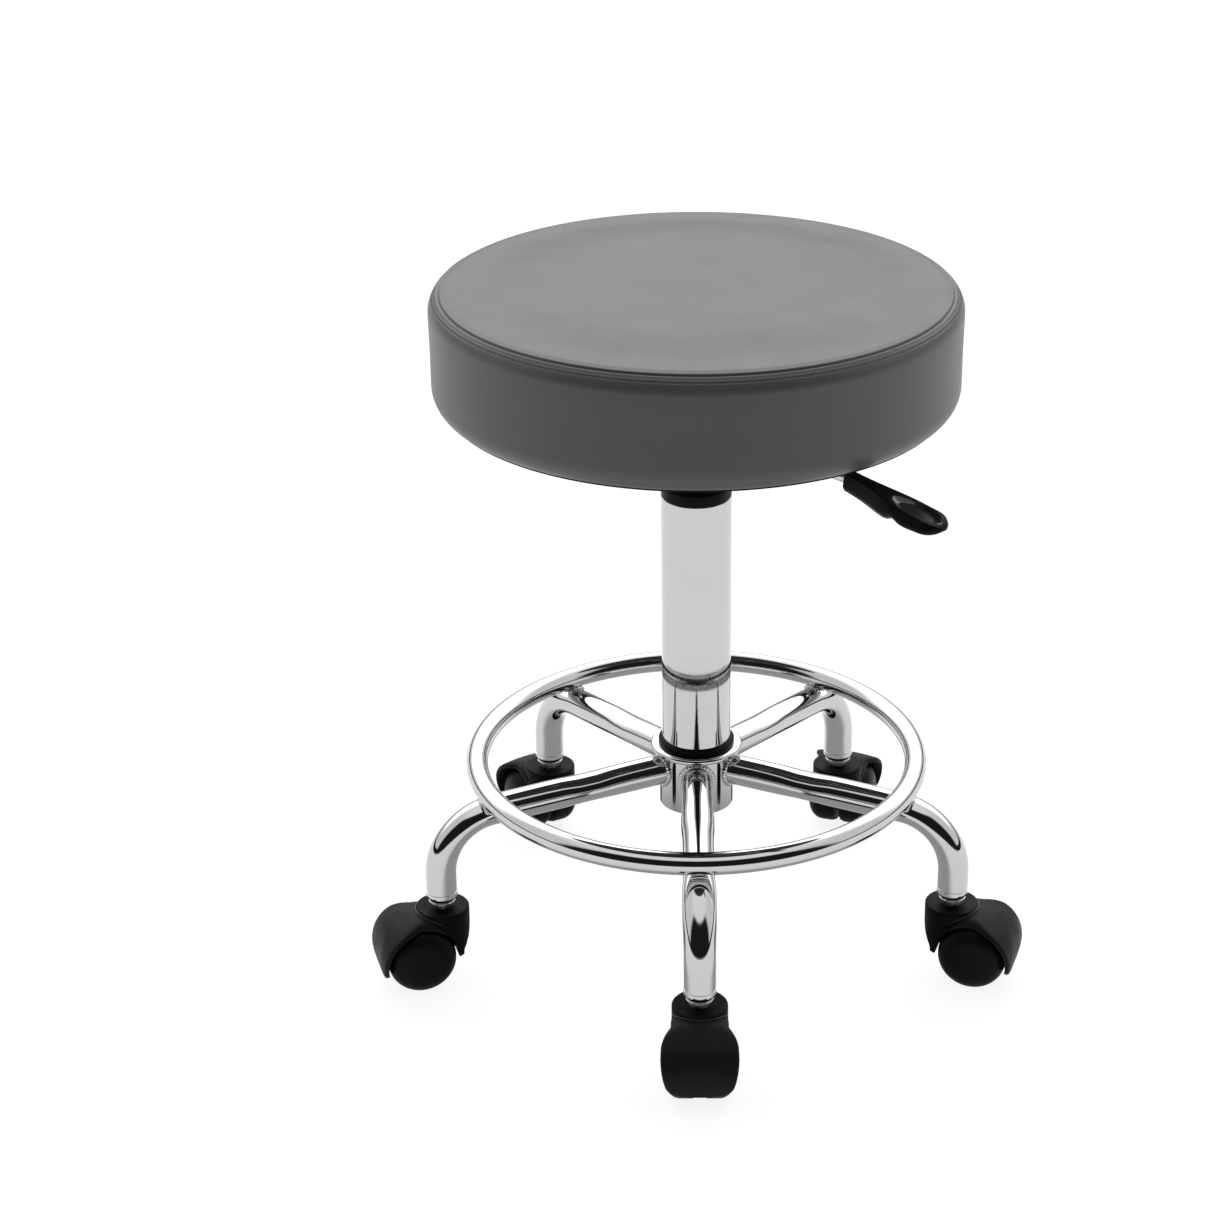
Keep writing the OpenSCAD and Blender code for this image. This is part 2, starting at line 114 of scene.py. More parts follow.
def plus(tree, a, b):
    return add(tree, "ShaderNodeMath", {0: a, 1: b}, operation="ADD").outputs[0]


def smooth_mix(tree, factor, a, b):
    return add(tree, "ShaderNodeMix", {"Factor": factor, 2: a, 3: b}).outputs[0]


WALLS = 0.9                            # brightness of the pale walls
DARK = 0.015                           # brightness of the dark card and of the strip at the horizon
BACK_BANK = 1.6                        # what the lamp bank behind the stool adds
CEILING = 0.2                          # what the ceiling adds
# Soft edges of the card, the strip, the bank and the ceiling, as Y or Z of a unit direction.
CARD_Y, CARD_Z = (-0.25, -0.5), (0.84, 0.74)
HORIZON_Z = (0.13, 0.08)
BANK_Y, BANK_Z = (0.2, 0.6), (0.2, 0.36)
CEILING_Z = (0.7, 0.9)


def make_world():
    """White studio: pale walls over a dark strip at the horizon, a ceiling, a lamp bank behind the stool and
    a tall dark card in front of it. A ray straight from a camera sees plain white."""
    world = bpy.data.worlds.new("studio")
    world.use_nodes = True
    tree = world.node_tree
    direction = add(tree, "ShaderNodeTexCoord").outputs["Generated"]
    xyz = add(tree, "ShaderNodeSeparateXYZ", {0: direction})
    y, z = xyz.outputs["Y"], xyz.outputs["Z"]
    card = times(tree, smooth_range(tree, y, *CARD_Y), smooth_range(tree, z, *CARD_Z))
    horizon = smooth_range(tree, z, *HORIZON_Z)
    dark = add(tree, "ShaderNodeMath", {0: card, 1: horizon}, operation="MAXIMUM").outputs[0]
    walls = smooth_range(tree, dark, 0.0, 1.0, WALLS, DARK)
    bank = times(tree, smooth_range(tree, y, *BANK_Y), smooth_range(tree, z, *BANK_Z))
    light = plus(tree, walls, times(tree, bank, BACK_BANK))
    light = plus(tree, light, smooth_range(tree, z, *CEILING_Z, 0.0, CEILING))
    straight = add(tree, "ShaderNodeLightPath").outputs["Is Camera Ray"]
    light = smooth_mix(tree, straight, light, 1.0)
    background = tree.nodes["Background"]
    background.inputs["Color"].default_value = (1, 1, 1, 1)
    tree.links.new(light, background.inputs["Strength"])
    bpy.context.scene.world = world


FLOOR_HALF = 40000
FLOOR_ALBEDO = 0.18
FLOOR_GLOW = 0.88
SHADE = 0.35                           # share of the floor's glow that is left under the stool
SHADE_R = (0.18, 0.29)                 # where the floor's shade under the stool ends, in metres
PAST_PAPER = 0.03                      # share of the floor's glow that is left past the white paper
PAPER_FRONT = (-2.0, -2.4)             # where the white paper ends in front of the stool, in metres


def make_floor():
    """White paper floor. Reflections see it shaded under the stool and dark past the paper's front edge."""
    corners = [(x * FLOOR_HALF, y * FLOOR_HALF, 0) for x, y in ((-1, -1), (1, -1), (1, 1), (-1, 1))]
    mesh = bpy.data.meshes.new("floor")
    mesh.from_pydata([Vector(c) * MM for c in corners], [], [(0, 1, 2, 3)])
    floor = bpy.data.objects.new("floor", mesh)
    bpy.context.scene.collection.objects.link(floor)
    material = bpy.data.materials.new("floor_white")
    material.use_nodes = True
    shader = material.node_tree.nodes["Principled BSDF"]
    shader.inputs["Base Color"].default_value = (FLOOR_ALBEDO, FLOOR_ALBEDO, FLOOR_ALBEDO, 1)
    shader.inputs["Roughness"].default_value = 1.0
    shader.inputs["Specular IOR Level"].default_value = 0.0
    shader.inputs["Emission Color"].default_value = (1, 1, 1, 1)
    tree = material.node_tree
    at = add(tree, "ShaderNodeTexCoord").outputs["Object"]
    y = add(tree, "ShaderNodeSeparateXYZ", {0: at}).outputs["Y"]
    reach = add(tree, "ShaderNodeVectorMath", {0: at}, operation="LENGTH").outputs["Value"]
    shaded = smooth_range(tree, reach, *SHADE_R, SHADE, 1.0)
    lit = times(tree, shaded, smooth_range(tree, y, *PAPER_FRONT, 1.0, PAST_PAPER))
    straight = add(tree, "ShaderNodeLightPath").outputs["Is Camera Ray"]
    glow = times(tree, smooth_mix(tree, straight, lit, 1.0), FLOOR_GLOW)
    tree.links.new(glow, shader.inputs["Emission Strength"])
    mesh.materials.append(material)


# ---------- materials ----------

def grey(value, tint=(1.0, 1.0, 1.0)):
    return tuple(value * t for t in tint) + (1.0,)


def new_material(name, metallic=0.0, **constants):
    """A material with its Principled shader; constants are given by input name with _ for a space."""
    material = bpy.data.materials.new(name)
    material.use_nodes = True
    tree = material.node_tree
    shader = tree.nodes["Principled BSDF"]
    shader.inputs["Metallic"].default_value = metallic
    for key, value in constants.items():
        shader.inputs[key.replace("_", " ")].default_value = value
    position = add(tree, "ShaderNodeTexCoord").outputs["Object"]
    return material, tree, shader, position


def noise(tree, position, scale, detail=2.0, rough=0.5, stretch=None):
    if stretch:
        position = add(tree, "ShaderNodeMapping", {"Vector": position, "Scale": stretch}).outputs[0]
    return add(tree, "ShaderNodeTexNoise",
               {"Vector": position, "Scale": scale, "Detail": detail, "Roughness": rough}).outputs["Fac"]


def blend_colour(tree, factor, dark, light):
    mix = add(tree, "ShaderNodeMix", {"Factor": factor}, data_type="RGBA")
    mix.inputs[6].default_value = dark
    mix.inputs[7].default_value = light
    return mix.outputs[2]


def set_bump(tree, shader, height, distance, strength=1.0, below=None):
    values = {"Height": height, "Distance": distance, "Strength": strength}
    if below is not None:
        values["Normal"] = below
    normal = add(tree, "ShaderNodeBump", values).outputs[0]
    tree.links.new(normal, shader.inputs["Normal"])
    return normal


def cells(tree, position, scale, feature="SMOOTH_F1"):
    pattern = add(tree, "ShaderNodeTexVoronoi", {"Vector": position, "Scale": scale}, feature=feature)
    return pattern.outputs["Distance"]


def set_roughness(tree, shader, pattern, low, high):
    """Roughness from low to high, as a pattern that keeps near 0.5 goes from its darkest to its lightest."""
    tree.links.new(smooth_range(tree, pattern, 0.3, 0.7, low, high), shader.inputs["Roughness"])


def leather():
    """Smooth satin artificial leather with a fine pebble grain."""
    m, tree, shader, at = new_material("grey_leather", IOR=1.5)
    patches = noise(tree, at, 9, 4)
    pores = cells(tree, at, 900)
    colour = blend_colour(tree, patches, grey(0.066, (1.0, 1.01, 1.0)), grey(0.072, (0.99, 1.0, 1.0)))
    tree.links.new(colour, shader.inputs["Base Color"])
    set_roughness(tree, shader, noise(tree, at, 30, 3), 0.39, 0.42)
    grain = set_bump(tree, shader, pores, 0.00006, 0.5)
    set_bump(tree, shader, noise(tree, at, 260, 3), 0.00012, 0.35, below=grain)
    return m


def thread():
    m, tree, shader, at = new_material("grey_thread", Roughness=0.7)
    twist = add(tree, "ShaderNodeTexWave", {"Vector": at, "Scale": 700.0, "Distortion": 2.0}).outputs["Fac"]
    tree.links.new(blend_colour(tree, twist, grey(0.05), grey(0.09)), shader.inputs["Base Color"])
    set_bump(tree, shader, twist, 0.0001, 0.6)
    return m


def chrome(name="chrome", rough_low=0.03, rough_high=0.075, ripple=0.25):
    """Bright chromium plate: faint polishing marks, and dust that dulls it here and there."""
    m, tree, shader, at = new_material(name, metallic=1.0)
    haze = noise(tree, at, 14, 4)
    tree.links.new(blend_colour(tree, haze, grey(0.53, (0.985, 1.0, 1.005)), grey(0.58, (0.99, 1.0, 1.005))),
                   shader.inputs["Base Color"])
    marks = noise(tree, at, 700, 3, stretch=(1.0, 1.0, 0.06))
    worn = plus(tree, times(tree, haze, 0.6), times(tree, marks, 0.4))
    set_roughness(tree, shader, worn, rough_low, rough_high)
    set_bump(tree, shader, noise(tree, at, 60, 2), 0.00002, ripple)
    return m


def plastic(name, dark, light, rough_low, rough_high, shine=0.5, grain=1400, depth=0.00004, strength=0.4):
    """Moulded plastic with a fine spark-eroded skin and handling marks."""
    m, tree, shader, at = new_material(name, Specular_IOR_Level=shine)
    patches = noise(tree, at, 40, 4)
    tree.links.new(blend_colour(tree, patches, grey(dark), grey(light)), shader.inputs["Base Color"])
    set_roughness(tree, shader, noise(tree, at, 90, 4), rough_low, rough_high)
    set_bump(tree, shader, noise(tree, at, grain, 2), depth, strength)
    return m


def zinc():
    """Zinc-plated steel with a dull, faintly mottled shine."""
    m, tree, shader, at = new_material("zinc", metallic=1.0)
    spangle = cells(tree, at, 350, "F1")
    tree.links.new(blend_colour(tree, spangle, grey(0.50, (0.98, 1.0, 1.03)), grey(0.66, (1.0, 1.0, 0.97))),
                   shader.inputs["Base Color"])
    set_roughness(tree, shader, noise(tree, at, 200, 3), 0.24, 0.42)
    set_bump(tree, shader, noise(tree, at, 900, 3), 0.00003, 0.5)
    return m


def brass():
    m, tree, shader, at = new_material("brass", metallic=1.0)
    tree.links.new(blend_colour(tree, noise(tree, at, 60, 4), (0.55, 0.38, 0.13, 1), (0.70, 0.50, 0.20, 1)),
                   shader.inputs["Base Color"])
    set_roughness(tree, shader, noise(tree, at, 300, 3), 0.22, 0.38)
    return m


def black_paint():
    """Powder-coated steel: satin black with orange peel."""
    m, tree, shader, at = new_material("black_paint")
    colour = blend_colour(tree, noise(tree, at, 25, 3), grey(0.012), grey(0.02))
    tree.links.new(colour, shader.inputs["Base Color"])
    set_roughness(tree, shader, noise(tree, at, 70, 3), 0.32, 0.46)
    set_bump(tree, shader, noise(tree, at, 650, 1), 0.00008, 0.6)
    return m


def plywood():
    """Birch plywood: long grain on its faces."""
    m, tree, shader, at = new_material("plywood")
    grain = noise(tree, at, 60, 6, 0.6, stretch=(0.08, 1.0, 1.0))
    rings = add(tree, "ShaderNodeTexWave", {"Vector": at, "Scale": 9.0, "Distortion": 6.0, "Detail": 3.0},
                bands_direction="Y").outputs["Fac"]
    mixed = plus(tree, times(tree, grain, 0.7), times(tree, rings, 0.3))
    tree.links.new(blend_colour(tree, mixed, (0.36, 0.22, 0.11, 1), (0.62, 0.45, 0.27, 1)),
                   shader.inputs["Base Color"])
    set_roughness(tree, shader, grain, 0.55, 0.75)
    set_bump(tree, shader, grain, 0.0002, 0.5)
    return m


def dust_cloth():
    """Black spun-bonded cloth with its pattern of tiny weld points."""
    m, tree, shader, at = new_material("dust_cloth", Sheen_Weight=0.3)
    points = cells(tree, at, 700, "F1")
    fibres = noise(tree, at, 500, 5, 0.7, stretch=(1.0, 0.2, 1.0))
    tree.links.new(blend_colour(tree, fibres, grey(0.008), grey(0.03)), shader.inputs["Base Color"])
    set_roughness(tree, shader, fibres, 0.75, 0.95)
    weave = set_bump(tree, shader, points, 0.0002, 0.7)
    set_bump(tree, shader, fibres, 0.0001, 0.5, below=weave)
    return m


def rubber():
    m, tree, shader, at = new_material("rubber")
    colour = blend_colour(tree, noise(tree, at, 50, 4), grey(0.012), grey(0.025))
    tree.links.new(colour, shader.inputs["Base Color"])
    set_roughness(tree, shader, noise(tree, at, 120, 3), 0.6, 0.8)
    set_bump(tree, shader, noise(tree, at, 1500, 2), 0.00005, 0.5)
    return m


LEATHER = leather()
THREAD = thread()
CHROME = chrome()
WELD = chrome("chromed_weld", 0.08, 0.16, 0.6)
BLACK_PLASTIC = plastic("satin_black_plastic", 0.003, 0.005, 0.36, 0.46, 0.07)
GLOSS_PLASTIC = plastic("gloss_black_plastic", 0.006, 0.009, 0.04, 0.10, 0.6, depth=0.00001)
HOOD_NYLON = plastic("hood_nylon", 0.007, 0.010, 0.42, 0.52, 0.09)
# Much darker copy of the hood's nylon for the swivel boss: painted shade round the leg's end.
BOSS_SHADE_NYLON = plastic("boss_nylon_painted_shade", 0.0015, 0.0025, 0.42, 0.52, 0.06)
# Lighter, glossier copy of the hood's nylon for the boss's ridge: a painted highlight along it.
RIDGE_HIGHLIGHT_NYLON = plastic("ridge_nylon_painted_highlight", 0.012, 0.018, 0.25, 0.32, 0.3)
WHEEL_NYLON = plastic("wheel_nylon", 0.004, 0.006, 0.34, 0.44, 0.08)
ZINC = zinc()
BRASS = brass()
BLACK_PAINT = black_paint()
PLYWOOD = plywood()
DUST_CLOTH = dust_cloth()
RUBBER = rubber()
CYLINDER_PAINT = plastic("cylinder_gloss_paint", 0.010, 0.014, 0.10, 0.20, depth=0.00001)


# ---------- mesh helpers ----------

SHARP = math.radians(38)


def finish_mesh(mesh, material):
    mesh.polygons.foreach_set("use_smooth", [True] * len(mesh.polygons))
    mesh.set_sharp_from_angle(angle=SHARP)
    mesh.materials.append(material)


def place(name, mesh, body):
    piece = bpy.data.objects.new(name, mesh)
    bpy.context.scene.collection.objects.link(piece)
    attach(piece, body)
    return piece


def mesh_of(name, shape, material):
    """A mesh from (points, faces) in millimetres, with all its faces turned outwards."""
    points, faces = shape
    mesh = bpy.data.meshes.new(name)
    mesh.from_pydata([Vector(p) * MM for p in points], [], faces)
    work = bmesh.new()
    work.from_mesh(mesh)
    bmesh.ops.recalc_face_normals(work, faces=work.faces)
    work.to_mesh(mesh)
    work.free()
    finish_mesh(mesh, material)
    return mesh


def piece_of(name, shape, body, material):
    return place(name, mesh_of(name, shape, material), body)


def joined(shapes):
    points, faces = [], []
    for shape_points, shape_faces in shapes:
        start = len(points)
        points += shape_points
        faces += [[start + i for i in face] for face in shape_faces]
    return points, faces


def moved(shape, matrix):
    points, faces = shape
    return [tuple(matrix @ Vector(p)) for p in points], faces


def turn(degrees, axis="Z"):
    return Matrix.Rotation(math.radians(degrees), 4, axis)


def shift(x, y, z):
    return Matrix.Translation((x, y, z))


def lathe(profile, steps=128, closed=True):
    """A profile of (r, z) points turned about Z. closed joins its last point to its first."""
    points, rings, faces = [], [], []
    for r, z in profile:
        if r < 1e-6:
            rings.append([len(points)])
            points.append((0.0, 0.0, z))
            continue
        rings.append(list(range(len(points), len(points) + steps)))
        points += [(r * math.cos(math.tau * i / steps), r * math.sin(math.tau * i / steps), z)
                   for i in range(steps)]
    pairs = list(zip(rings, rings[1:])) + ([(rings[-1], rings[0])] if closed else [])
    for a, b in pairs:
        for i in range(steps):
            j = i + 1
            corners = [a[i % len(a)], a[j % len(a)], b[j % len(b)], b[i % len(b)]]
            face = list(dict.fromkeys(corners))
            if len(face) > 2:
                faces.append(face)
    return points, faces


def rounded(corners, steps=6):
    """An outline through (x, y, radius) corners, each rounded by its own radius."""
    outline = []
    for k, (x, y, radius) in enumerate(corners):
        corner = Vector((x, y))
        if radius == 0:
            outline.append((x, y))
            continue
        back = (Vector(corners[k - 1][:2]) - corner).normalized()
        ahead = (Vector(corners[(k + 1) % len(corners)][:2]) - corner).normalized()
        half = back.angle(ahead) / 2
        centre = corner + (back + ahead).normalized() * (radius / math.sin(half))
        start = corner + back * (radius / math.tan(half)) - centre
        end = corner + ahead * (radius / math.tan(half)) - centre
        for i in range(steps + 1):
            outline.append(tuple(centre + start.slerp(end, i / steps).normalized() * radius))
    return outline


def sweep(path, radius, sides=32, closed=False, across=None):
    """A tube along a path. radius is one number, or one for each point of the path. across, where it is
    given, holds the radii along the Y axis, for a flat path in X and Z whose tube is oval."""
    path = [Vector(p) for p in path]
    count = len(path)
    radii = [radius] * count if isinstance(radius, (int, float)) else radius
    wide = across or radii
    points, faces = [], []
    normal = Vector((0, 1, 0)) if across else None
    for k, here in enumerate(path):
        before = path[k - 1] if closed or k > 0 else here
        after = path[(k + 1) % count] if closed or k < count - 1 else here
        along = (after - before).normalized()
        if normal is None:
            normal = along.orthogonal().normalized()
        normal = (normal - along * normal.dot(along)).normalized()
        side = along.cross(normal)
        for i in range(sides):
            a = math.tau * i / sides
            points.append(tuple(here + normal * math.cos(a) * wide[k] + side * math.sin(a) * radii[k]))
    for k in range(count if closed else count - 1):
        a, b = k * sides, (k + 1) % count * sides
        for i in range(sides):
            j = (i + 1) % sides
            faces.append([a + i, a + j, b + j, b + i])
    if not closed:
        faces.append(list(range(sides))[::-1])
        faces.append(list(range((count - 1) * sides, count * sides)))
    return points, faces


def smooth01(t):
    t = min(1.0, max(0.0, t))
    return t * t * (3 - 2 * t)


def circle(radius, z, steps):
    """Points of a level circle round the column's axis."""
    return [(radius * math.cos(math.tau * i / steps), radius * math.sin(math.tau * i / steps), z)
            for i in range(steps)]


def arc_points(centre, radius, start, end, steps):
    """Points (x, z) on an arc, with its angles in degrees."""
    return [(centre[0] + radius * math.cos(math.radians(start + (end - start) * i / steps)),
             centre[1] + radius * math.sin(math.radians(start + (end - start) * i / steps)))
            for i in range(steps + 1)]


# ---------- cushion ----------

COVER_LO, COVER_HI = box_mm("seat_cover")
SOFT = 3.2                             # how far the padded cover stands out past its pattern
SEAT_R = COVER_HI.x + SOFT
SEAT_TOP = COVER_HI.z + SOFT
SEAT_UNDER = COVER_LO.z
EDGE_R = 14                            # round upper edge
TUCK_R = 17                            # round lower edge
FLAT_R = 90                            # flat middle of the top
CROWN_DROP = 3                         # how far the top falls from its middle to its edge
HEM_R = COVER_HI.x - 29
BOARD_LO = box_mm("seat_board")[0]

SIM_INSET = 3.0                        # how far the simulated cover starts inside its pattern
SIM_VOXEL = 5.0
SIM_PRESSURE = 4.0
SIM_FRAMES = 20
SIM_CAP = 24.0                         # most that a simulated point may move
SWELL_SHARE = 0.3                      # share of the simulated swell that is kept
SWELL_MOST = 2.2
SINK_MOST = 0.5
SEWN_SHARE = 0.1                       # share of that on the sewn edge, which holds its form
SEWN_REACH = 30
EVENING_PASSES = 12
SEAM_ANGLE = 60                        # where on the rounded edge the top panel is sewn to the band
STITCH_ANGLE = 38


def cushion_outline(inset, rows):
    """(r, z) points of the cushion from its hem under the board, round the outside, to the top's middle.
    rows gives the steps on the underside, the tuck, the side, the rounded edge and the top."""
    r, low, top = SEAT_R - inset, SEAT_UNDER + inset, SEAT_TOP - inset
    tuck, edge = TUCK_R - inset, EDGE_R - inset
    under, tucked, side, rim, crown = rows
    shoulder = top - CROWN_DROP - edge
    outline = [(HEM_R + (r - tuck - HEM_R) * i / under, low) for i in range(under)]
    outline += arc_points((r - tuck, low + tuck), tuck, -90, 0, tucked)
    outline += [(r, low + tuck + (shoulder - low - tuck) * i / side) for i in range(1, side)]
    outline += arc_points((r - edge, shoulder), edge, 0, 90, rim)
    for i in range(1, crown + 1):
        out = (r - edge) * (1 - i / crown)
        fall = CROWN_DROP * smooth01((out - FLAT_R) / (r - edge - FLAT_R))
        outline.append((out, top - fall))
    return outline


def swollen_cushion():
    """The cushion's form after a cloth simulation with air pressure inside, as a BVH tree in mm."""
    outline = cushion_outline(SIM_INSET, (4, 6, 8, 6, 20))
    outline = [(0.0, SEAT_UNDER + SIM_INSET)] + outline
    start = mesh_of("cushion_start", lathe(outline, 96, closed=False), LEATHER)
    obj = bpy.data.objects.new("cushion_sim", start)
    bpy.context.scene.collection.objects.link(obj)
    bpy.context.view_layer.objects.active = obj
    obj.select_set(True)
    remesh = obj.modifiers.new("remesh", "REMESH")
    remesh.mode = "VOXEL"
    remesh.voxel_size = SIM_VOXEL * MM
    bpy.ops.object.modifier_apply(modifier="remesh")
    rest = [v.co.copy() for v in obj.data.vertices]
    held = obj.vertex_groups.new(name="held")
    under = [v.index for v in obj.data.vertices if v.co.z < (SEAT_UNDER + SIM_INSET + 1) * MM]
    held.add(under, 1.0, "REPLACE")
    cloth = obj.modifiers.new("cloth", "CLOTH")
    settings = cloth.settings
    settings.quality = 6
    settings.mass = 0.3
    settings.tension_stiffness = 60
    settings.compression_stiffness = 60
    settings.shear_stiffness = 20
    settings.bending_stiffness = 4
    settings.use_pressure = True
    settings.uniform_pressure_force = SIM_PRESSURE
    settings.vertex_group_mass = "held"
    settings.effector_weights.gravity = 0
    cloth.point_cache.frame_start = 1
    cloth.point_cache.frame_end = SIM_FRAMES
    scene = bpy.context.scene
    for number in range(1, SIM_FRAMES + 1):
        scene.frame_set(number)
    bpy.ops.object.modifier_apply(modifier="cloth")
    scene.frame_set(1)
    for v, before in zip(obj.data.vertices, rest):
        move = v.co - before
        if move.length > SIM_CAP * MM:
            v.co = before + move.normalized() * SIM_CAP * MM
    subdivide = obj.modifiers.new("subdivide", "SUBSURF")
    subdivide.levels = 1
    bpy.ops.object.modifier_apply(modifier="subdivide")
    points = [tuple(v.co / MM) for v in obj.data.vertices]
    faces = [tuple(p.vertices) for p in obj.data.polygons]
    bpy.data.objects.remove(obj)
    return BVHTree.FromPolygons(points, faces)


def outline_normals(outline):
    normals = []
    for k in range(len(outline)):
        a = outline[max(0, k - 1)]
        b = outline[min(len(outline) - 1, k + 1)]
        along = Vector((b[0] - a[0], b[1] - a[1])).normalized()
        normals.append((along.y, -along.x))
    return normals


def seam_depth(distance, width, depth):
    """How far a seam pulls the cover in, at a distance from its line, with a low ridge at each side."""
    d = distance / width
    return depth * math.exp(-d * d) - 0.35 * depth * math.exp(-(abs(d) - 2.2) ** 2)


def make_cushion():
    """One clean mesh whose swell comes from the simulated form, with the seam of its top panel."""
    swell = swollen_cushion()
    steps = 320
    outline = cushion_outline(0, (8, 24, 30, 60, 90))
    normals = outline_normals(outline)
    edge_centre = (SEAT_R - EDGE_R, SEAT_TOP - CROWN_DROP - EDGE_R)
    seams = [(SEAM_ANGLE, 0.75, 0.75), (STITCH_ANGLE, 0.55, 0.22)]
    swells = [[0.0] * steps for _ in outline]
    if swell:
        reach = 12.0
        for k, ((r, z), (nr, nz)) in enumerate(zip(outline, normals)):
            for i in range(steps):
                a = math.tau * i / steps
                out = Vector((nr * math.cos(a), nr * math.sin(a), nz))
                origin = Vector((r * math.cos(a), r * math.sin(a), z)) - out * reach
                hit = swell.ray_cast(origin, out, reach * 3)
                if hit[3] is not None:
                    swells[k][i] = hit[3] - reach
        swells = settled(swells, outline)
    points, faces = [], []
    for k, ((r, z), (nr, nz)) in enumerate(zip(outline, normals)):
        angle = math.degrees(math.atan2(z - edge_centre[1], r - edge_centre[0]))
        on_edge = r > edge_centre[0] - 3 and z > edge_centre[1] - 3
        for i in range(steps):
            a = math.tau * i / steps
            out = swells[k][i]
            if on_edge:
                for at, width, depth in seams:
                    out -= seam_depth(math.radians(angle - at) * EDGE_R, width, depth)
            if r > 1e-6:
                rr = max(0.0, r + nr * out)
                points.append((rr * math.cos(a), rr * math.sin(a), z + nz * out))
    rings = len(points) // steps
    middle = len(points)
    points.append((0.0, 0.0, outline[-1][1] + sum(swells[-1]) / steps))
    for k in range(rings - 1):
        for i in range(steps):
            j = (i + 1) % steps
            faces.append([k * steps + i, k * steps + j, (k + 1) * steps + j, (k + 1) * steps + i])
    last = (rings - 1) * steps
    faces += [[last + i, last + (i + 1) % steps, middle] for i in range(steps)]
    lip = len(points)
    inner = BOARD_LO.z + 2
    points += circle(HEM_R, inner, steps)
    faces += [[i, (i + 1) % steps, lip + (i + 1) % steps, lip + i] for i in range(steps)]
    faces.append([lip + i for i in range(steps)])
    cushion = piece_of("seat_cushion", (points, faces), "cushion", LEATHER)
    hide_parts("seat_cover", "seat_foam")


def settled(swells, outline):
    """The simulated swell, evened out and kept within what a tightly stretched cover shows."""
    steps = len(swells[0])
    whole = [v for row in swells for v in row]
    middle = sum(whole) / len(whole)
    rows = []
    for (r, z), row in zip(outline, swells):
        from_edge = max(SEAT_R - EDGE_R - r, SEAT_TOP - CROWN_DROP - EDGE_R - z)
        free = SEWN_SHARE + (1 - SEWN_SHARE) * smooth01(from_edge / SEWN_REACH)
        share = smooth01((z - SEAT_UNDER) / TUCK_R) * free
        rows.append([max(-SINK_MOST, min(SWELL_MOST, (v - middle) * SWELL_SHARE)) * share for v in row])
    last = len(rows) - 1
    for _ in range(EVENING_PASSES):
        rows = [[(row[i - 1] + 2 * row[i] + row[(i + 1) % steps]) / 4 for i in range(steps)]
                for row in rows]
        rows = [[(rows[max(0, k - 1)][i] + 2 * rows[k][i] + rows[min(last, k + 1)][i]) / 4
                 for i in range(steps)] for k in range(len(rows))]
    return rows


def make_stitches():
    """The line of thread that holds the seam allowance, a stitch about every 4 mm."""
    pitch = 4.2
    a = math.radians(STITCH_ANGLE)
    r = SEAT_R - EDGE_R + (EDGE_R - 0.25) * math.cos(a)
    z = SEAT_TOP - CROWN_DROP - EDGE_R + (EDGE_R - 0.25) * math.sin(a)
    count = round(math.tau * r / pitch)
    shapes = []
    for i in range(count):
        start, end = math.tau * (i + 0.12) / count, math.tau * (i + 0.88) / count
        path, radii = [], []
        for k in range(5):
            t = k / 4
            angle = start + (end - start) * t
            rise = 0.18 * math.sin(math.pi * t)
            out = r + rise * math.cos(a)
            path.append((out * math.cos(angle), out * math.sin(angle), z + rise * math.sin(a)))
            radii.append(0.14 + 0.10 * math.sin(math.pi * t))
        shapes.append(sweep(path, radii, 6))
    piece_of("seat_stitches", joined(shapes), "cushion", THREAD)


def make_hem_piping():
    """Thin black cord where the cover tucks under the board."""
    angle = math.radians(-66)
    r = SEAT_R - TUCK_R + (TUCK_R - 0.1) * math.cos(angle)
    z = SEAT_UNDER + TUCK_R + (TUCK_R - 0.1) * math.sin(angle)
    piping = sweep(circle(r, z, 240), 0.9, 12, closed=True)
    piece_of("hem_piping", piping, "cushion", BLACK_PLASTIC)


PLATE_ANGLE = -45
CLOTH_HOLE_HALF = 75.6
STAPLES = 24
CLOTH_SLACK = 0.5


def cloth_hole(angle):
    """Distance from the axis to the edge of the cloth's square hole, which the plate fills."""
    turned = angle - math.radians(PLATE_ANGLE)
    return CLOTH_HOLE_HALF / max(abs(math.cos(turned)), abs(math.sin(turned)))


def make_dust_cloth():
    """Black cloth stapled under the board, cut out round the plate, hardly slack between its staples."""
    lo, hi = box_mm("dust_cover")
    outer = hi.x
    steps, rows = 192, 14
    top, bottom = [], []
    for k in range(rows + 1):
        t = k / rows
        for i in range(steps):
            a = math.tau * i / steps
            inner = cloth_hole(a)
            r = inner + (outer - inner) * t
            slack = CLOTH_SLACK * (0.5 - 0.5 * math.cos(a * STAPLES)) * math.sin(math.pi * t)
            point = (r * math.cos(a), r * math.sin(a))
            top.append((*point, hi.z - slack))
            bottom.append((*point, lo.z - slack))
    points = top + bottom
    faces = []
    layer = len(top)
    for k in range(rows):
        for i in range(steps):
            j = (i + 1) % steps
            quad = [k * steps + i, k * steps + j, (k + 1) * steps + j, (k + 1) * steps + i]
            faces.append(quad)
            faces.append([layer + q for q in quad][::-1])
    for row in (0, rows):
        for i in range(steps):
            j = (i + 1) % steps
            a, b = row * steps + i, row * steps + j
            faces.append([a, b, layer + b, layer + a])
    cloth = piece_of("dust_cloth", (points, faces), "cushion", DUST_CLOTH)
    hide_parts("dust_cover")


# ---------- column and base ----------

